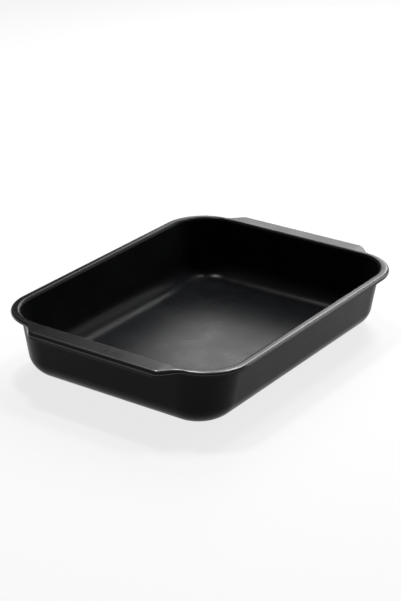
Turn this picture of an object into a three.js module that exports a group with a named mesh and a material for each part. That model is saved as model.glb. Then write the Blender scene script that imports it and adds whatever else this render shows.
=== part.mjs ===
// A deep baking pan pressed from one sheet of coated steel. Sloping walls rise from a flat floor
// to a narrow flange, the flange widens into a handle at each short end, and the whole edge is
// curled round a stiffening wire. +X runs through the handles and the floor stands on z = 0.

import * as THREE from 'three';

// Driving dimensions, in millimetres and degrees
const rimLength = 316; // outside of the curl, end to end, without the handles
const rimWidth = 250; // outside of the curl, side to side
const panHeight = 60.5; // underside of the floor to the top of the flange
const sheetThickness = 0.8;
const sideDraft = 10.5; // slope of the long walls from vertical
const endDraft = 5; // slope of the short walls from vertical
const rimCornerRadius = 45; // outside of the curl, in plan
const wallCornerRadius = 41; // outside of the wall's top, in plan
const floorCornerRadius = 19; // corner of the flat floor, in plan
const floorFillet = 20.5; // outside of the bend between wall and floor
const shoulderRadius = 2.2; // inside of the bend between wall and flange
const flangeDrop = 0.5; // fall of the flange from the wall to the curl
const handleReach = 14.2; // how far a handle stands out past the rim
const handleWidth = 138; // along the handle's outer edge, to where its flanks start
const handleFlankAngle = 46; // turn from the handle's outer edge into its flank
const handleCornerRadius = 9; // outside of the curl at the handle's corners
const handleFootRadius = 15; // outside of the curl where a flank runs into the rim
const handleCurlRadius = 4; // outside of the roll along a handle, fuller than round the rim
const wireDiameter = 2.3;
const wireClearance = 0.3; // between the wire and the inside of the rim's curl
const sideCurlGap = 3.9; // between the curl and the long walls behind it
const endCurlGap = 1.1; // between the curl and the short walls at a handle's foot
const curlMouth = 0.9; // between the curl's cut edge and the underside of the flange

// Facets along each stretch
const handleCornerSteps = 4;
const handleFootSteps = 5;
const rimCornerSteps = 13;
const floorFilletSteps = 6;
const shoulderSteps = 4;
const curlSteps = 12;
const wireSides = 8;

// Sizes that follow from the driving dimensions
const rightAngle = Math.PI / 2;
const halfLength = rimLength / 2;
const halfWidth = rimWidth / 2;
const flankAngle = THREE.MathUtils.degToRad(handleFlankAngle);
const curlRadius = wireDiameter / 2 + wireClearance + sheetThickness;
const curlTop = panHeight - flangeDrop;
const wallTopHeight = panHeight - sheetThickness;
const cornerCentre = new THREE.Vector2(halfLength - rimCornerRadius, halfWidth - rimCornerRadius);

// Where a wall's section lies, as distances inwards from the outside of the rim
function wallLayout(draftDegrees, curlGap) {
  const draft = THREE.MathUtils.degToRad(draftDegrees);
  const bend = Math.tan((rightAngle - draft) / 2);
  const overhang = 2 * curlRadius + curlGap;
  const shoulderInset = overhang - shoulderRadius * bend;
  const footInset = overhang + wallTopHeight * Math.tan(draft);
  return { draft, overhang, shoulderInset, floorInset: footInset + floorFillet * bend };
}

const sideWall = wallLayout(sideDraft, sideCurlGap);
const endWall = wallLayout(endDraft, endCurlGap);

// Evenly spaced values from one end to the other, both ends included
function spread(from, to, steps) {
  return Array.from({ length: steps + 1 }, (_, step) => from + ((to - from) * step) / steps);
}

function polar(centre, radius, angle) {
  return new THREE.Vector2(centre.x + radius * Math.cos(angle), centre.y + radius * Math.sin(angle));
}

// Centre of the concave arc where a handle's flank runs into the rim. The arc touches the flank
// and then either the straight end of the rim or, where the handle is wide, the corner's arc.
function handleFootCentre(flankStart) {
  const along = new THREE.Vector2(-Math.sin(flankAngle), Math.cos(flankAngle));
  const start = polar(flankStart, handleFootRadius, flankAngle);
  const fromCorner = start.clone().sub(cornerCentre);
  const touching = rimCornerRadius + handleFootRadius;
  const half = fromCorner.dot(along);
  const run = -half - Math.sqrt(half * half - fromCorner.lengthSq() + touching * touching);
  const onCorner = start.clone().addScaledVector(along, run);
  if (onCorner.y > cornerCentre.y) return onCorner;
  const straightRun = (start.x - halfLength - handleFootRadius) / Math.sin(flankAngle);
  return start.clone().addScaledVector(along, straightRun);
}

// One quarter of the pan's outer edge in plan, from the middle of a handle to the middle of a
// long side. Each station is a point on the edge with the angle of its outward normal and the
// radius of the curl there.
function quarterEdge() {
  const handleEnd = halfLength + handleReach;
  const flankStart = new THREE.Vector2(handleEnd, handleWidth / 2);
  const bendCentre = new THREE.Vector2(
    handleEnd - handleCornerRadius,
    flankStart.y - handleCornerRadius * Math.tan(flankAngle / 2),
  );
  const footCentre = handleFootCentre(flankStart);
  const fromCorner = footCentre.clone().sub(cornerCentre);
  const footAngle = Math.max(0, Math.atan2(fromCorner.y, fromCorner.x));
  const stations = [{ point: new THREE.Vector2(handleEnd, 0), angle: 0, roll: handleCurlRadius }];
  for (const angle of spread(0, flankAngle, handleCornerSteps)) {
    const point = polar(bendCentre, handleCornerRadius, angle);
    stations.push({ point, angle, roll: handleCurlRadius });
  }
  for (const angle of spread(flankAngle, footAngle, handleFootSteps)) {
    const onFlank = (angle - footAngle) / (flankAngle - footAngle);
    const roll = THREE.MathUtils.lerp(curlRadius, handleCurlRadius, onFlank);
    stations.push({ point: polar(footCentre, -handleFootRadius, angle), angle, roll });
  }
  const onStraightEnd = footCentre.y < cornerCentre.y;
  const cornerAngles = spread(footAngle, rightAngle, rimCornerSteps);
  for (const angle of onStraightEnd ? cornerAngles : cornerAngles.slice(1)) {
    const point = polar(cornerCentre, rimCornerRadius, angle);
    stations.push({ point, angle, roll: curlRadius });
  }
  stations.push({ point: new THREE.Vector2(0, halfWidth), angle: rightAngle, roll: curlRadius });
  return stations;
}

// The place on the plain rounded rectangle that a station of the edge is drawn out from: its turn
// round the corner, or its share of the straight end or side
function wallPlace({ point }) {
  if (point.y < cornerCentre.y) return { turn: 0, share: point.y / cornerCentre.y };
  if (point.x < cornerCentre.x) return { turn: rightAngle, share: point.x / cornerCentre.x };
  return { turn: Math.atan2(point.y - cornerCentre.y, point.x - cornerCentre.x), share: 1 };
}

const quarter = quarterEdge().map((station) => ({ ...station, ...wallPlace(station) }));

// Mirrors a quarter's row of points into the whole outline, anticlockwise from +X
function allRound(row) {
  const back = row.slice(0, -1).reverse();
  const mirrored = [
    [row, 1, 1],
    [back, -1, 1],
    [row.slice(1), -1, -1],
    [back.slice(0, -1), 1, -1],
  ];
  return mirrored.flatMap(([points, signX, signY]) =>
    points.map(({ x, y, z }) => new THREE.Vector3(signX * x, signY * y, z)),
  );
}

// A line round the pressed part of the pan, through one level of the end section and the same
// level of the side section. The corners tighten evenly from the wall's top to the flat floor.
function pressedRing(endLevel, sideLevel) {
  const depth = (sideLevel.inset - sideWall.overhang) / (sideWall.floorInset - sideWall.overhang);
  const radius = THREE.MathUtils.lerp(wallCornerRadius, floorCornerRadius, depth);
  const centreX = halfLength - endLevel.inset - radius;
  const centreY = halfWidth - sideLevel.inset - radius;
  const row = quarter.map(({ turn, share }) => {
    const alongEnd = turn === 0 ? share : 1;
    const alongSide = turn === rightAngle ? share : 1;
    return new THREE.Vector3(
      alongSide * centreX + radius * Math.cos(turn),
      alongEnd * centreY + radius * Math.sin(turn),
      THREE.MathUtils.lerp(endLevel.height, sideLevel.height, turn / rightAngle),
    );
  });
  return allRound(row);
}

// A line round the curl or its wire, at a turn round the curl's centre: a quarter turn is the
// top, none is the outermost line. The radius follows from the size of the curl at each station.
function curlRing(radiusIn, turn) {
  const row = quarter.map(({ point, angle, roll }) => {
    const radius = radiusIn(roll);
    const { x, y } = polar(point, radius * Math.cos(turn) - roll, angle);
    return new THREE.Vector3(x, y, curlTop - roll + radius * Math.sin(turn));
  });
  return allRound(row);
}

// Levels of one wall's section on one face of the sheet, from the flat floor to the flange. A lift
// of nothing is the under face, a lift of the sheet's thickness the upper one.
function wallLevels({ draft, shoulderInset, floorInset }, lift) {
  const fillet = spread(-rightAngle, -draft, floorFilletSteps).map((turn) => ({
    inset: floorInset - (floorFillet - lift) * Math.cos(turn),
    height: floorFillet + (floorFillet - lift) * Math.sin(turn),
  }));
  const shoulder = spread(Math.PI - draft, rightAngle, shoulderSteps).map((turn) => ({
    inset: shoulderInset - (shoulderRadius + lift) * Math.cos(turn),
    height: wallTopHeight - shoulderRadius + (shoulderRadius + lift) * Math.sin(turn),
  }));
  return [...fillet, ...shoulder];
}

function pressedRings(lift) {
  const sideLevels = wallLevels(sideWall, lift);
  return wallLevels(endWall, lift).map((endLevel, i) => pressedRing(endLevel, sideLevels[i]));
}

// Joins neighbouring rings with faces that point away from the metal
function ringFaces(rings, closed) {
  const count = rings[0].length;
  const bands = closed ? rings.length : rings.length - 1;
  const faces = [];
  for (let band = 0; band < bands; band += 1) {
    const inner = band * count;
    const outer = ((band + 1) % rings.length) * count;
    for (let i = 0; i < count; i += 1) {
      const next = (i + 1) % count;
      faces.push(inner + i, outer + i, outer + next, inner + i, outer + next, inner + next);
    }
  }
  return faces;
}

function solid(points, faces) {
  const geometry = new THREE.BufferGeometry().setFromPoints(points);
  geometry.setIndex(faces);
  geometry.computeVertexNormals();
  return geometry;
}

// The pressed sheet: up the inside of the pan, across the flange, round the curl to its cut edge,
// and back along the under face
function panBody() {
  const mouthRise = (curlRadius - sheetThickness - curlMouth) / curlRadius;
  const curlEnd = -Math.PI - Math.asin(mouthRise);
  const curlTurns = spread(rightAngle, curlEnd, curlSteps);
  const rings = [
    ...pressedRings(sheetThickness),
    ...curlTurns.map((turn) => curlRing((roll) => roll, turn)),
    ...curlTurns.map((turn) => curlRing((roll) => roll - sheetThickness, turn)).reverse(),
    ...pressedRings(0).reverse(),
  ];
  const points = rings.flat();
  const faces = ringFaces(rings, false);
  const count = rings[0].length;
  const lastRing = points.length - count;
  const topCentre = points.push(new THREE.Vector3(0, 0, sheetThickness)) - 1;
  const underCentre = points.push(new THREE.Vector3(0, 0, 0)) - 1;
  for (let i = 0; i < count; i += 1) {
    const next = (i + 1) % count;
    faces.push(topCentre, i, next, underCentre, lastRing + next, lastRing + i);
  }
  return solid(points, faces);
}

// The stiffening wire, one closed loop inside the curl
function rimWire() {
  const turns = spread(rightAngle, rightAngle - 2 * Math.PI, wireSides).slice(0, -1);
  const rings = turns.map((turn) => curlRing(() => wireDiameter / 2, turn));
  return solid(rings.flat(), ringFaces(rings, true));
}

const coating = new THREE.MeshStandardMaterial({ color: 0x2c2e30, roughness: 0.42, metalness: 0.1 });
const bareSteel = new THREE.MeshStandardMaterial({ color: 0x9a9c9f, roughness: 0.35, metalness: 1 });

const pieces = [
  ['pan_body', panBody(), coating],
  ['rim_wire', rimWire(), bareSteel],
];

const pan = new THREE.Group();
for (const [name, geometry, material] of pieces) {
  const mesh = new THREE.Mesh(geometry, material);
  mesh.name = name;
  pan.add(mesh);
}

export default pan;
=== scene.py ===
# %% [markdown]
# A deep baking pan, pressed from one sheet of steel and coated black. Its walls slope up from a
# flat floor to a narrow flange, the flange widens into a handle at each short end, and the whole
# edge is curled round a stiffening wire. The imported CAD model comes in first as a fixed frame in
# metres: +X runs through the handles, +Z is up, and the pan stands on z = 0.

# %% Load the frame
import math

import bpy
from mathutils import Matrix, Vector


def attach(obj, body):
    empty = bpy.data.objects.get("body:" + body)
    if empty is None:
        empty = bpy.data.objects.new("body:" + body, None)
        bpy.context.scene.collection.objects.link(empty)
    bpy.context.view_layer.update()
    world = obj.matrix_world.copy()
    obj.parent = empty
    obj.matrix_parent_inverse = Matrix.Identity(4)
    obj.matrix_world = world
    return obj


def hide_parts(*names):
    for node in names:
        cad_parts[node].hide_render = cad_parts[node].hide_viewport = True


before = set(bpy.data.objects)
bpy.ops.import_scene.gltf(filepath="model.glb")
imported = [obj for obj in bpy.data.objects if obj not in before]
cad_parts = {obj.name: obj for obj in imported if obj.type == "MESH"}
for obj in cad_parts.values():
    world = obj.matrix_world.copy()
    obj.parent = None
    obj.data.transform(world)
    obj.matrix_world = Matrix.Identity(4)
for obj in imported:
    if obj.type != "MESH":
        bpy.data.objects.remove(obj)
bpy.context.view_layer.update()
bpy.context.scene.view_settings.view_transform = 'Standard'

# %% [markdown]
# The camera stands in front of the pan's near corner, a little above it, and far enough off for a
# long lens, so the rim's sides run nearly parallel. A camera can be placed by its angles round an
# aim point: azimuth turns it round the pan and elevation lifts it. The small shift slides the
# picture on the sensor and leaves the perspective alone, as a shift lens does.

# %% Camera
MM = 0.001
image_height = 601
aim_point = Vector((0, 0, 30 * MM))
azimuth = math.radians(-55.13)
elevation = math.radians(24.35)
camera_distance = 1.615
focal_pixels = 1729.4
sensor_size = 36  # millimetres along the picture's longer side, its height
aim_offset = (4.48, 14.99)  # pixels from the picture's centre to the aim point, right and down

towards_camera = Vector((
    math.sin(azimuth) * math.cos(elevation),
    -math.cos(azimuth) * math.cos(elevation),
    math.sin(elevation),
))
bpy.ops.object.select_all(action='DESELECT')
bpy.ops.object.camera_add(location=aim_point + camera_distance * towards_camera)
camera = bpy.context.object
camera.name = "camera"
camera.rotation_euler = towards_camera.to_track_quat('Z', 'Y').to_euler()
camera.data.sensor_width = sensor_size
camera.data.lens = focal_pixels * sensor_size / image_height
camera.data.shift_x = -aim_offset[0] / image_height
camera.data.shift_y = aim_offset[1] / image_height
bpy.context.scene.camera = camera
print(f"lens {camera.data.lens:.1f} mm, shift {camera.data.shift_x:.4f}, {camera.data.shift_y:.4f}")

# %% [markdown]
# The pan is the same on both sides of its length and its width, so only the quarter with +X and
# +Y is modelled, and a mirror makes the rest. A press tool's outline is drawn with straight lines
# and arcs, and edit mode can draw the same way: one vertex is extruded for a line and spun about
# a centre for an arc. That keeps every radius true, which a freehand curve would not.

# %% Drawing lines and arcs
def start_outline(name, point):
    bpy.ops.object.select_all(action='DESELECT')
    bpy.ops.mesh.primitive_plane_add(size=MM, location=point)
    outline = bpy.context.object
    outline.name = name
    bpy.ops.object.mode_set(mode='EDIT')
    bpy.ops.mesh.select_mode(type='VERT')
    bpy.ops.mesh.select_all(action='SELECT')
    bpy.ops.mesh.merge(type='CENTER')
    return outline


def draw_line(x, y, z=0, steps=1):
    for _ in range(steps):
        shift = (x / steps, y / steps, z / steps)
        bpy.ops.mesh.extrude_region_move(TRANSFORM_OT_translate={"value": shift})


def draw_arc(centre, turn, steps):
    # Spin turns clockwise about its axis, so an anticlockwise turn gets a minus sign
    bpy.ops.mesh.spin(steps=steps, angle=-turn, center=centre, axis=(0, 0, 1))


def end_outline(outline):
    bpy.ops.object.mode_set(mode='OBJECT')
    bpy.ops.object.transform_apply(location=True, rotation=True, scale=True)
    print(outline.name, "has", len(outline.data.vertices), "points")


# %% [markdown]
# Sizes of the sheet, in metres. The long walls lean out more than the short ones, and they stand
# further in from the rim, so each has its own slope and its own overhang. An inset is a distance
# inwards from the outside of the rim to the upper face of the sheet.

# %% Sizes of the pressing
half_length = 157.98 * MM
half_width = 124.98 * MM
pan_height = 60.5 * MM
sheet = 0.8 * MM
side_slope = math.radians(10.5)
end_slope = math.radians(5)
side_overhang = 8.4 * MM
end_overhang = 5.6 * MM


def wall_inset(overhang, slope, height):
    fall = pan_height - sheet - height
    return overhang + fall * math.tan(slope) + sheet / math.cos(slope)


side_brow = wall_inset(side_overhang, side_slope, pan_height)
end_brow = wall_inset(end_overhang, end_slope, pan_height)
side_foot = wall_inset(side_overhang, side_slope, sheet)
end_foot = wall_inset(end_overhang, end_slope, sheet)
print(f"side wall runs in from {side_brow / MM:.1f} to {side_foot / MM:.1f} mm")
print(f"end wall runs in from {end_brow / MM:.1f} to {end_foot / MM:.1f} mm")

# %% [markdown]
# The outer edge is where the skill lies: a straight handle edge, a tight outward bend, a slanting
# flank, a hollow foot, and then the big round corner. The foot's arc has to touch the flank and
# the corner's arc at once, so its centre is found first: it lies on a line beside the flank, as
# far from the corner's centre as the two radii together.

# %% Where the handle's arcs have their centres
corner_radius = 45 * MM
handle_reach = 14.2 * MM  # how far a handle stands out past the rim
handle_end = half_length + handle_reach
handle_half = 69 * MM  # middle of the handle to where its edge and flank would meet
flank_turn = math.radians(46)
bend_radius = 9 * MM
foot_radius = 15 * MM

corner_centre = Vector((half_length - corner_radius, half_width - corner_radius))
bend_centre = Vector((handle_end - bend_radius, handle_half - bend_radius * math.tan(flank_turn / 2)))
flank_normal = Vector((math.cos(flank_turn), math.sin(flank_turn)))
flank_along = Vector((-math.sin(flank_turn), math.cos(flank_turn)))
beside_flank = Vector((handle_end, handle_half)) + foot_radius * flank_normal
from_corner = beside_flank - corner_centre
along = from_corner.dot(flank_along)
touching = corner_radius + foot_radius
run = -along - math.sqrt(along ** 2 - from_corner.length_squared + touching ** 2)
foot_centre = beside_flank + run * flank_along
foot_angle = math.atan2(foot_centre.y - corner_centre.y, foot_centre.x - corner_centre.x)
print(f"foot centre {foot_centre.x / MM:.1f}, {foot_centre.y / MM:.1f} mm,",
      f"meets the corner at {math.degrees(foot_angle):.1f} degrees")

# %% [markdown]
# The edge is drawn at any inset from the same centres: outward bends get tighter as they move in
# and the hollow foot gets wider. The roll is fuller along a handle than round the rim, so a line
# has one inset and height there and another on the rim, and slides from one to the other along
# the foot. A second function draws the plain rounded lines of the walls with just as many points,
# bunched where the handle starts, so that the two can be bridged with square faces.

# %% Drawing the edge and the wall lines
bend_steps = 8
foot_steps = 8
corner_steps = 24
bunch_share = 0.82  # part of a wall's straight half that faces the handle's straight edge


def draw_edge(name, rim, handle):
    (rim_inset, rim_height), (handle_inset, handle_height) = rim, handle
    outline = start_outline(name, (handle_end - handle_inset, 0, handle_height))
    draw_line(0, bend_centre.y)
    draw_arc((*bend_centre, handle_height), flank_turn, bend_steps)
    flank_start = bend_centre + (bend_radius - handle_inset) * flank_normal
    place = foot_centre - (foot_radius + handle_inset) * flank_normal
    draw_line(*(place - flank_start))
    for step in range(1, foot_steps + 1):
        share = step / foot_steps
        angle = flank_turn + share * (foot_angle - flank_turn)
        inset = handle_inset + share * (rim_inset - handle_inset)
        target = foot_centre - (foot_radius + inset) * Vector((math.cos(angle), math.sin(angle)))
        draw_line(*(target - place), (rim_height - handle_height) / foot_steps)
        place = target
    draw_arc((*corner_centre, rim_height), math.pi / 2 - foot_angle, corner_steps)
    draw_line(-corner_centre.x, 0)
    end_outline(outline)
    return outline


def draw_wall_line(name, end_inset, side_inset, radius, height):
    x = half_length - end_inset
    y = half_width - side_inset
    bunch = bunch_share * (y - radius)
    outline = start_outline(name, (x, 0, height))
    draw_line(0, bunch)
    draw_line(0, y - radius - bunch, steps=bend_steps + foot_steps + 1)
    draw_arc((x - radius, y - radius, height), math.pi / 2, corner_steps)
    draw_line(radius - x, 0)
    end_outline(outline)
    return outline


# %% [markdown]
# Three lines make the quarter: the crease where the wall would meet the floor, the crease where
# it would meet the flange, and the line where the flange starts to round over into the curl. The
# sheet doesn't turn sharply there: a wider arc tips it over by about a third of a right angle before
# the tight roll takes over, which gives the rim its crowned look. That arc has to leave the flange at
# one angle and meet the roll at another, so its radius and height follow from the two. Along a
# handle the roll is larger and starts without a crown, so the handle stays flat almost to its edge.

# %% The three lines of the quarter
curl_radius = 2.25 * MM
curl_depth = 2.75 * MM  # from the top of the brow down to the middle of the roll
curl_height = pan_height - curl_depth
handle_roll = 4 * MM  # radius of the roll along a handle
handle_fall = 0.5 * MM  # from the top of the brow down to where a handle's roll starts
handle_top = pan_height - handle_fall
crown_inset = 3.3 * MM
crown_start = math.radians(2)
crown_end = math.radians(35)
crown_run = crown_inset - curl_radius * (1 - math.sin(crown_end))
crown_radius = crown_run / (math.sin(crown_end) - math.sin(crown_start))
crown_drop = crown_radius * (math.cos(crown_start) - math.cos(crown_end))
crown_height = curl_height + curl_radius * math.cos(crown_end) + crown_drop
foot_corner = 33 * MM  # corner radius where the wall would meet the floor
brow_corner = 40.3 * MM  # and where it would meet the flange
foot_line = draw_wall_line("foot_line", end_foot, side_foot, foot_corner, sheet)
brow_line = draw_wall_line("brow_line", end_brow, side_brow, brow_corner, pan_height)
rim_start = (crown_inset, crown_height)
handle_start = (handle_roll, handle_top)
crown_line = draw_edge("crown_line", rim_start, handle_start)
print(f"crown: radius {crown_radius / MM:.1f} mm, starts at z = {crown_height / MM:.2f} mm")

# %% [markdown]
# Bridging joins two lines with a strip of faces, as a press stretches the sheet between the tool
# and the die. The brow is bridged to the crown first, for the flange, and then the foot line to the
# brow, for the wall. The edges to bridge are picked by the height of their points.

# %% Selecting and joining
def only(piece):
    bpy.ops.object.select_all(action='DESELECT')
    piece.select_set(True)
    bpy.context.view_layer.objects.active = piece


def join(first, *others):
    only(first)
    for other in others:
        other.select_set(True)
    bpy.ops.object.join()


def select_edges(piece, wanted):
    bpy.ops.object.mode_set(mode='EDIT')
    bpy.ops.mesh.select_mode(type='EDGE')
    bpy.ops.mesh.select_all(action='DESELECT')
    bpy.ops.object.mode_set(mode='OBJECT')
    points = piece.data.vertices
    for edge in piece.data.edges:
        edge.select = all(wanted(points[end].co) for end in edge.vertices)
    bpy.ops.object.mode_set(mode='EDIT')


touch = 0.01 * MM  # points closer than this count as one


def near(value, target):
    return abs(value - target) < touch


# %% Bridge the quarter
flange_band = 1 * MM  # the brow and the crown lie within this of the top, and the foot far below
join(foot_line, brow_line, crown_line)
pan = foot_line
pan.name = "pan_pressing"
select_edges(pan, lambda p: p.z > pan_height - flange_band)
bpy.ops.mesh.bridge_edge_loops()
select_edges(pan, lambda p: near(p.z, sheet) or near(p.z, pan_height))
bpy.ops.mesh.bridge_edge_loops()
bpy.ops.object.mode_set(mode='OBJECT')
print("bridged faces:", len(pan.data.polygons))

# %% [markdown]
# The floor is one flat face. The foot line is drawn once more and closed by two edges, from its end
# to the middle of the pan and on to its start, and the loop is filled. Joined to the walls, the face
# shares its edge with them, so the doubled points are merged and all faces turned to the same side.

# %% Fill the floor
def merge_points(piece):
    only(piece)
    bpy.ops.object.mode_set(mode='EDIT')
    bpy.ops.mesh.select_all(action='SELECT')
    bpy.ops.mesh.remove_doubles(threshold=touch)
    bpy.ops.mesh.normals_make_consistent(inside=False)
    bpy.ops.object.mode_set(mode='OBJECT')


floor_line = draw_wall_line("floor_line", end_foot, side_foot, foot_corner, sheet)
only(floor_line)
bpy.ops.object.mode_set(mode='EDIT')
bpy.ops.mesh.select_all(action='DESELECT')
bpy.ops.object.mode_set(mode='OBJECT')
far_end = max(floor_line.data.vertices, key=lambda v: v.co.y - v.co.x)
far_end.select = True
bpy.ops.object.mode_set(mode='EDIT')
bpy.ops.mesh.select_mode(type='VERT')
draw_line(0, side_foot - half_width)
draw_line(half_length - end_foot, 0)
bpy.ops.mesh.select_all(action='SELECT')
bpy.ops.mesh.remove_doubles(threshold=touch)
bpy.ops.mesh.edge_face_add()
bpy.ops.object.mode_set(mode='OBJECT')
join(pan, floor_line)
merge_points(pan)
print("quarter faces:", len(pan.data.polygons), "points:", len(pan.data.vertices))

# %% [markdown]
# A press can't fold the sheet to a sharp crease, so both creases become bends: a wide one at the
# floor, which also lets a spatula reach, and a tight one at the brow. A bevel on the crease's
# edges makes an arc between the two faces. Its offset is how far the bend reaches along each.

# %% Bend the creases
floor_bend = 17.2 * MM
brow_bend = 3.2 * MM
select_edges(pan, lambda p: near(p.z, sheet) and p.xy.length > floor_bend)
bpy.ops.mesh.bevel(offset=floor_bend, segments=12, profile=0.5, affect='EDGES', clamp_overlap=False)
select_edges(pan, lambda p: near(p.z, pan_height))
bpy.ops.mesh.bevel(offset=brow_bend, segments=6, profile=0.5, affect='EDGES', clamp_overlap=False)
bpy.ops.object.mode_set(mode='OBJECT')
print("bent quarter faces:", len(pan.data.polygons))

# %% [markdown]
# The curl is one section rolled along the whole edge, and a curve's bevel does the same: the
# section, drawn by spinning a vertex, is swept along the edge's line. It is swept twice, once with
# the rim's section and once with the handle's. Both have the same number of points, and the roll
# stops short of a full turn, which leaves the small mouth that a rolling tool does.

# %% Sweep the two sections
crown_steps = 5
roll_steps = 22
roll_end = math.radians(284)


def sweep(name, start, crown_centre, lean, roll_centre):
    section = start_outline(name + "_section", (0, 0, 0))
    draw_arc((*crown_centre, 0), lean - crown_end, crown_steps)
    draw_arc((*roll_centre, 0), crown_end - roll_end, roll_steps)
    end_outline(section)
    bpy.ops.object.convert(target='CURVE')
    section = bpy.context.object
    only(draw_edge(name, start, start))
    bpy.ops.object.convert(target='CURVE')
    path = bpy.context.object.data
    path.twist_mode = 'Z_UP'
    path.bevel_mode = 'OBJECT'
    path.bevel_object = section
    bpy.ops.object.convert(target='MESH')
    bpy.data.objects.remove(section)
    return bpy.context.object


crown_centre = (-crown_radius * math.sin(crown_start), -crown_radius * math.cos(crown_start))
curl_centre = (crown_inset - curl_radius, curl_height - crown_height)
handle_centre = (0, -handle_roll)
curl = sweep("rim_curl", rim_start, crown_centre, crown_start, curl_centre)
handle_curl = sweep("handle_curl", handle_start, handle_centre, 0, handle_centre)
print("curl faces:", len(curl.data.polygons), "and", len(handle_curl.data.polygons))

# %% [markdown]
# On the real pan one roll swells into the other along the handle's foot. The handle's sweep becomes
# a shape key of the rim's, and a vertex group says how much of it each point takes: all of it along
# the handle, none on the rim, and a share that falls evenly along the foot. The mixed curl shares
# its first line with the flange, so the two merge.

# %% Blend the sweeps and join the curl on
only(curl)
handle_curl.select_set(True)
bpy.ops.object.join_shapes()
bpy.data.objects.remove(handle_curl)
# One share for each point of the edge: handle, bend and flank, then the foot, then the corner
shares = [1] * (bend_steps + 3)
shares += [1 - step / foot_steps for step in range(1, foot_steps + 1)]
shares += [0] * (corner_steps + 1)
section_points = crown_steps + roll_steps + 1
blend = curl.vertex_groups.new(name="handle_share")
for station, share in enumerate(shares):
    first = station * section_points
    blend.add(list(range(first, first + section_points)), share, 'REPLACE')
handle_key = curl.data.shape_keys.key_blocks[-1]
handle_key.value = 1
handle_key.vertex_group = blend.name
only(curl)
curl.active_shape_key_index = 1
bpy.ops.object.shape_key_remove(all=True, apply_mix=True)
curl.vertex_groups.remove(blend)
join(pan, curl)
merge_points(pan)
crown_points = sum(1 for vertex in pan.data.vertices if near(vertex.co.z, crown_height))
print("points of the quarter:", len(pan.data.vertices), "of them at the crown's height:", crown_points)

# %% [markdown]
# The mirror makes the other three quarters and merges the seams. Faces from a sweep and a mirror
# can point either way, so the normals are made to agree, and turned up if the floor looks down.
# Only then does the sheet get its thickness, on the side away from the upper face.

# %% Mirror the quarter and give it thickness
def apply_modifier(piece, kind, **settings):
    only(piece)
    bpy.ops.object.modifier_add(type=kind)
    modifier = piece.modifiers[-1]
    for setting, value in settings.items():
        setattr(modifier, setting, value)
    bpy.ops.object.modifier_apply(modifier=modifier.name)


apply_modifier(pan, 'MIRROR', use_axis=(True, True, False), merge_threshold=touch)
merge_points(pan)
floor_face = max(pan.data.polygons, key=lambda face: face.area)
if floor_face.normal.z < 0:
    bpy.ops.object.mode_set(mode='EDIT')
    bpy.ops.mesh.flip_normals()
    bpy.ops.object.mode_set(mode='OBJECT')
apply_modifier(pan, 'SOLIDIFY', thickness=sheet, offset=-1, use_even_offset=True)
only(pan)
bpy.ops.object.shade_smooth_by_angle(angle=math.radians(40))
apply_modifier(pan, 'WEIGHTED_NORMAL', keep_sharp=True)
pan_low = [min(v.co[i] for v in pan.data.vertices) / MM for i in range(3)]
pan_high = [max(v.co[i] for v in pan.data.vertices) / MM for i in range(3)]
print("pan:", len(pan.data.polygons), "faces, from", pan_low, "to", pan_high)

# %% [markdown]
# The wire inside the curl keeps the rim stiff. It could be swept like the curl, but its section is
# a plain circle, so it is drawn along the same edge, in the middle of the roll, and rounded by the
# curve's own bevel depth.

# %% Draw the wire
wire_radius = 1.15 * MM
wire_line = draw_edge(
    "rim_wire_drawn", (curl_radius, curl_height), (handle_roll, handle_top - handle_roll))
only(wire_line)
bpy.ops.object.convert(target='CURVE')
wire = bpy.context.object
wire.data.twist_mode = 'Z_UP'
wire.data.bevel_depth = wire_radius
wire.data.bevel_resolution = 3
bpy.ops.object.convert(target='MESH')
wire = bpy.context.object
apply_modifier(wire, 'MIRROR', use_axis=(True, True, False), merge_threshold=touch)
merge_points(wire)
bpy.ops.object.shade_smooth()
print("wire faces:", len(wire.data.polygons))

# %% [markdown]
# Hands, cloths and oven shelves rub a pan along the outside of its rim first, while the underside
# of the rim is out of their reach and only gets a dusting of the sprayed coating. The finish needs
# to know where both are, and a mesh can carry numbers at every point for its material to read. One
# is how far a point faces up and outwards at once, which only the crown and the roll do, and the
# other is how far a point of the rim or a handle faces down.

# %% Mark the rubbed and the sheltered edge
for mark in ("rub", "shelter"):
    pan.data.attributes.new(mark, 'FLOAT', 'POINT')
rub_marks = pan.data.attributes["rub"].data
shelter_marks = pan.data.attributes["shelter"].data
wall_lean = 0.2  # the walls lean out, so they face down by a little less than this
rub_gain = 4  # the rub is full where the crest leans out by 15 to 75 degrees
shelter_gain = 2  # the shelter is full where the edge faces down by 45 degrees or more
for vertex in pan.data.vertices:
    on_rim = vertex.co.z > curl_height - curl_radius
    on_edge = vertex.co.z > handle_top - 2 * handle_roll - sheet
    outward = vertex.normal.xy.dot(vertex.co.xy.normalized())
    rub = max(0, outward) * max(0, vertex.normal.z)
    shelter = max(0, -vertex.normal.z - wall_lean)
    rub_marks[vertex.index].value = min(1, rub_gain * rub) if on_rim else 0
    shelter_marks[vertex.index].value = min(1, shelter_gain * shelter) if on_edge else 0
for title, marks in (("rubbed", rub_marks), ("sheltered", shelter_marks)):
    print(title, "points:", sum(1 for point in marks if point.value > 0.5))

# %% [markdown]
# A finish is built from a few nodes, so one function adds a node, sets it and links it. Colours are
# written as they look on a screen and turned into the linear values that light is counted in.

# %% Materials and their nodes
def linear(hex_colour):
    channels = [int(hex_colour[i:i + 2], 16) / 255 for i in (1, 3, 5)]
    return [c / 12.92 if c <= 0.04045 else ((c + 0.055) / 1.055) ** 2.4 for c in channels] + [1]


def new_material(name):
    material = bpy.data.materials.new(name)
    material.use_nodes = True
    return material, material.node_tree.nodes["Principled BSDF"]


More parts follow.
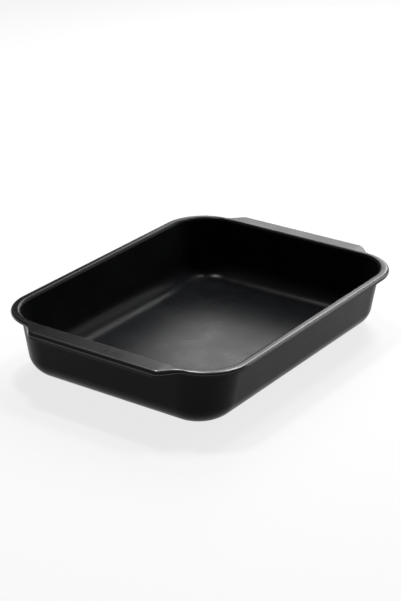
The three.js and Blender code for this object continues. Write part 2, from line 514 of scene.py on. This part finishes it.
def add_node(material, kind, links, **settings):
    """Adds a node, sets its properties and sockets by name, and links sockets from other nodes."""
    tree = material.node_tree
    node = tree.nodes.new(kind)
    for name, value in settings.items():
        if hasattr(node, name):
            setattr(node, name, value)
        else:
            node.inputs[name.replace("_", " ")].default_value = value
    for socket, source in links.items():
        tree.links.new(source, node.inputs[socket])
    return node


def feed(shader, socket, node):
    shader.id_data.links.new(node.outputs[0], shader.inputs[socket])


# %% [markdown]
# Non-stick coating is a thin layer of fluoropolymer with black pigment, sprayed on and baked. It
# is satin: its low refractive index leaves little reflection face on and a soft bright sheen at a
# glancing angle. The layer is never quite even, so its black drifts from patch to patch.

# %% Coating: colour
coating, coat_shader = new_material("satin_nonstick_coating")
# A fluoropolymer's own index is about 1.35; at 1.18 the walls come out as dark as the real ones
coat_shader.inputs["IOR"].default_value = 1.18
coat_place = add_node(coating, "ShaderNodeTexCoord", {}).outputs["Object"]

# Patches about 25 mm across keep a large wall from looking like one flat black
patch_size = 25 * MM
patches = add_node(coating, "ShaderNodeTexNoise", {"Vector": coat_place}, Scale=1 / patch_size, Detail=3)
patch_range = add_node(
    coating, "ShaderNodeMapRange", {"Value": patches.outputs["Fac"]}, From_Min=0.25, From_Max=0.75)
black = add_node(
    coating, "ShaderNodeMixRGB", {"Fac": patch_range.outputs[0]},
    Color1=linear("#191a1c"), Color2=linear("#1f2022"))

# The rubbed edge is a little greyer, broken up by blotches about 6 mm across
blotch_size = 6 * MM
blotches = add_node(coating, "ShaderNodeTexNoise", {"Vector": coat_place}, Scale=1 / blotch_size, Detail=4)
edge = add_node(coating, "ShaderNodeAttribute", {}, attribute_name="rub")
rub_parts = {0: edge.outputs["Fac"], 1: blotches.outputs["Fac"]}
rub_amount = add_node(coating, "ShaderNodeMath", rub_parts, operation='MULTIPLY')
coat_colour = add_node(
    coating, "ShaderNodeMixRGB", {"Fac": rub_amount.outputs[0], "Color1": black.outputs[0]},
    Color2=linear("#2b2c2e"))
feed(coat_shader, "Base Color", coat_colour)
print("coating patches", patch_size / MM, "mm, rubbed blotches", blotch_size / MM, "mm")

# %% [markdown]
# The gloss varies more than the colour does. Wiping leaves faint level streaks round the walls, a
# few millimetres high and several centimetres long, and the spray dries with a fine orange peel.

# %% Coating: gloss and orange peel
streak_size = Vector((60 * MM, 60 * MM, 3 * MM))
streak_place = add_node(
    coating, "ShaderNodeMapping", {"Vector": coat_place}, Scale=[1 / size for size in streak_size])
streaks = add_node(coating, "ShaderNodeTexNoise", {"Vector": streak_place.outputs[0]}, Scale=1, Detail=2)
gloss_parts = {0: streaks.outputs["Fac"], 1: patches.outputs["Fac"]}
gloss = add_node(coating, "ShaderNodeMath", gloss_parts, operation='ADD')
coat_roughness = add_node(
    coating, "ShaderNodeMapRange", {"Value": gloss.outputs[0]},
    From_Min=0.7, From_Max=1.3, To_Min=0.24, To_Max=0.34)

# What faces down under the edge is dusted rather than wetted by the spray, and stays matt
sheltered = add_node(coating, "ShaderNodeAttribute", {}, attribute_name="shelter")
all_roughness = add_node(
    coating, "ShaderNodeMapRange",
    {"Value": sheltered.outputs["Fac"], "To Min": coat_roughness.outputs[0]}, To_Max=0.8)
feed(coat_shader, "Roughness", all_roughness)

# The wet coating draws together along the curl and dries glossier there, and rubbing burnishes it,
# so the crest of the edge gets a clear layer that catches the lamps. A baked resin's index is
# about 1.5; at 1.8 the crest shines as much as the real one
feed(coat_shader, "Coat Weight", edge)
coat_shader.inputs["Coat IOR"].default_value = 1.8
coat_shader.inputs["Coat Roughness"].default_value = 0.3

# Real orange peel is about 0.8 mm across; it is drawn at 2 mm so that it shows at all
peel_size = 2 * MM
peel_depth = 0.006 * MM
peel = add_node(coating, "ShaderNodeTexNoise", {"Vector": coat_place}, Scale=1 / peel_size, Detail=1)
peel_bump = add_node(
    coating, "ShaderNodeBump", {"Height": peel.outputs["Fac"]}, Strength=1, Distance=peel_depth)
feed(coat_shader, "Normal", peel_bump)
print("streaks", [round(size / MM) for size in streak_size], "mm, orange peel", peel_size / MM, "mm")

# %% [markdown]
# The wire is plain steel, drawn through a die. Drawing leaves a dull shine with dark smears of the
# soap it was drawn with, and only a slit of it shows through the curl's mouth.

# %% Wire material
wire_steel, steel_shader = new_material("drawn_steel_wire")
steel_shader.inputs["Metallic"].default_value = 1
steel_place = add_node(wire_steel, "ShaderNodeTexCoord", {}).outputs["Object"]

# Smears about 4 mm across darken the steel and take off its shine
smear_size = 4 * MM
smears = add_node(wire_steel, "ShaderNodeTexNoise", {"Vector": steel_place}, Scale=1 / smear_size, Detail=4)
steel_colour = add_node(
    wire_steel, "ShaderNodeMixRGB", {"Fac": smears.outputs["Fac"]},
    Color1=linear("#8f8f8d"), Color2=linear("#b9b9b7"))
feed(steel_shader, "Base Color", steel_colour)
steel_roughness = add_node(
    wire_steel, "ShaderNodeMapRange", {"Value": smears.outputs["Fac"]}, To_Min=0.5, To_Max=0.25)
feed(steel_shader, "Roughness", steel_roughness)

# Die marks are far finer than 0.5 mm; they are drawn that coarse so that they show close up
mark_size = 0.5 * MM
mark_depth = 0.01 * MM
die_marks = add_node(wire_steel, "ShaderNodeTexNoise", {"Vector": steel_place}, Scale=1 / mark_size)
die_bump = add_node(
    wire_steel, "ShaderNodeBump", {"Height": die_marks.outputs["Fac"]}, Strength=1, Distance=mark_depth)
feed(steel_shader, "Normal", die_bump)
print("wire smears", smear_size / MM, "mm, die marks", mark_size / MM, "mm")

# %% [markdown]
# The whole pressing is sprayed, inside and out, so one finish covers all of it. The wire was never
# coated and keeps its own.

# %% Put the finishes on
pan.data.materials.append(coating)
wire.data.materials.append(wire_steel)
print("finishes:", coating.name, "and", wire_steel.name)

# %% [markdown]
# The pan stands on white paper. Paper lit only by lamps would need far more light than the pan to
# reach white, so part of its brightness is a glow that only the camera and reflections see: the
# Light Path node tells those rays from the ones that carry light. The rest is lit as usual, so
# the pan keeps its soft shadow.

# %% Floor
floor_size = 60  # metres, so that only a very low camera sees past its end
floor_gap = 0.05 * MM  # keeps the paper clear of the pan's flat underside
paper_glow = 0.79  # the share of white that is glow
bpy.ops.object.select_all(action='DESELECT')
bpy.ops.mesh.primitive_plane_add(size=floor_size, location=(0, 0, -floor_gap))
floor = bpy.context.object
floor.name = "studio_floor"
paper, paper_shader = new_material("white_paper")
paper_shader.inputs["Base Color"].default_value = linear("#808080")
paper_shader.inputs["Roughness"].default_value = 0.9
paper_shader.inputs["Emission Color"].default_value = linear("#ffffff")
rays = add_node(paper, "ShaderNodeLightPath", {})
through = {0: rays.outputs["Is Glossy Ray"], 1: rays.outputs["Is Transmission Ray"]}
mirrored = add_node(paper, "ShaderNodeMath", through, operation='MAXIMUM')
direct = {0: rays.outputs["Is Camera Ray"], 1: mirrored.outputs[0]}
seen = add_node(paper, "ShaderNodeMath", direct, operation='MAXIMUM')
glow = add_node(paper, "ShaderNodeMapRange", {"Value": seen.outputs[0]}, To_Max=paper_glow)
feed(paper_shader, "Emission Strength", glow)
floor.data.materials.append(paper)
print("floor", floor_size, "m wide, glow", paper_glow)

# %% [markdown]
# Satin black shows its light as reflections, so the lamps are placed for them. A tall window behind
# the pan shines in the flange and the handles at a glancing angle, and ends where the near handle
# turns dark. A dim panel on the right lights the outside of the long rim, and two small softboxes
# above put the bright points on the tight bends of the near edge. A softbox's brightness is its
# power over pi times its area, and that is what a reflection shows.

# %% A softbox
def add_softbox(name, place, aim, width, height, brightness):
    bpy.ops.object.light_add(type='AREA', location=place)
    lamp = bpy.context.object
    lamp.name = name
    lamp.rotation_euler = (place - aim).to_track_quat('Z', 'Y').to_euler()
    lamp.data.shape = 'RECTANGLE'
    lamp.data.size = width
    lamp.data.size_y = height
    lamp.data.energy = brightness * math.pi * width * height
    lamp.visible_camera = False
    print(f"{name}: {width} by {height} m, {lamp.data.energy:.1f} W")


# %% Lamps
up = Vector((0, 0, 1))
behind = Vector((-towards_camera.x, -towards_camera.y, 0)).normalized()
rightward = behind.cross(up)


def stand(back, right, height):
    """A place in metres from the pan's middle: away from the camera, to its right and up."""
    return back * behind + right * rightward + height * up


# The window hangs upright and faces level towards the camera's side
window_place = stand(back=1.45, right=0.36, height=1.1)
add_softbox(
    "tall_window", window_place, window_place - behind, width=0.9, height=1.3, brightness=5.5)
panel_place = stand(back=0.72, right=1.35, height=0.75)
add_softbox("right_panel", panel_place, aim_point, width=0.9, height=0.8, brightness=2)
key_place = stand(back=0.6, right=0.44, height=1.35)
add_softbox("key", key_place, aim_point, width=0.3, height=0.3, brightness=25)
overhead_place = stand(back=0.5, right=-0.2, height=1.42)
add_softbox("overhead", overhead_place, aim_point, width=0.2, height=0.2, brightness=60)

# %% [markdown]
# A dim, even light from all round stands for the room, so that no side of the pan is quite black.

# %% World
room_light = 0.05
world = bpy.data.worlds.new("studio")
bpy.context.scene.world = world
world.use_nodes = True
background = world.node_tree.nodes["Background"]
background.inputs["Color"].default_value = (1, 1, 1, 1)
background.inputs["Strength"].default_value = room_light
print("room light", room_light)

# %% [markdown]
# Both pieces belong to the pan's one body and stand in for their CAD solids.

# %% Hand over
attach(pan, "root")
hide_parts("pan_body")
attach(wire, "root")
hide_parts("rim_wire")
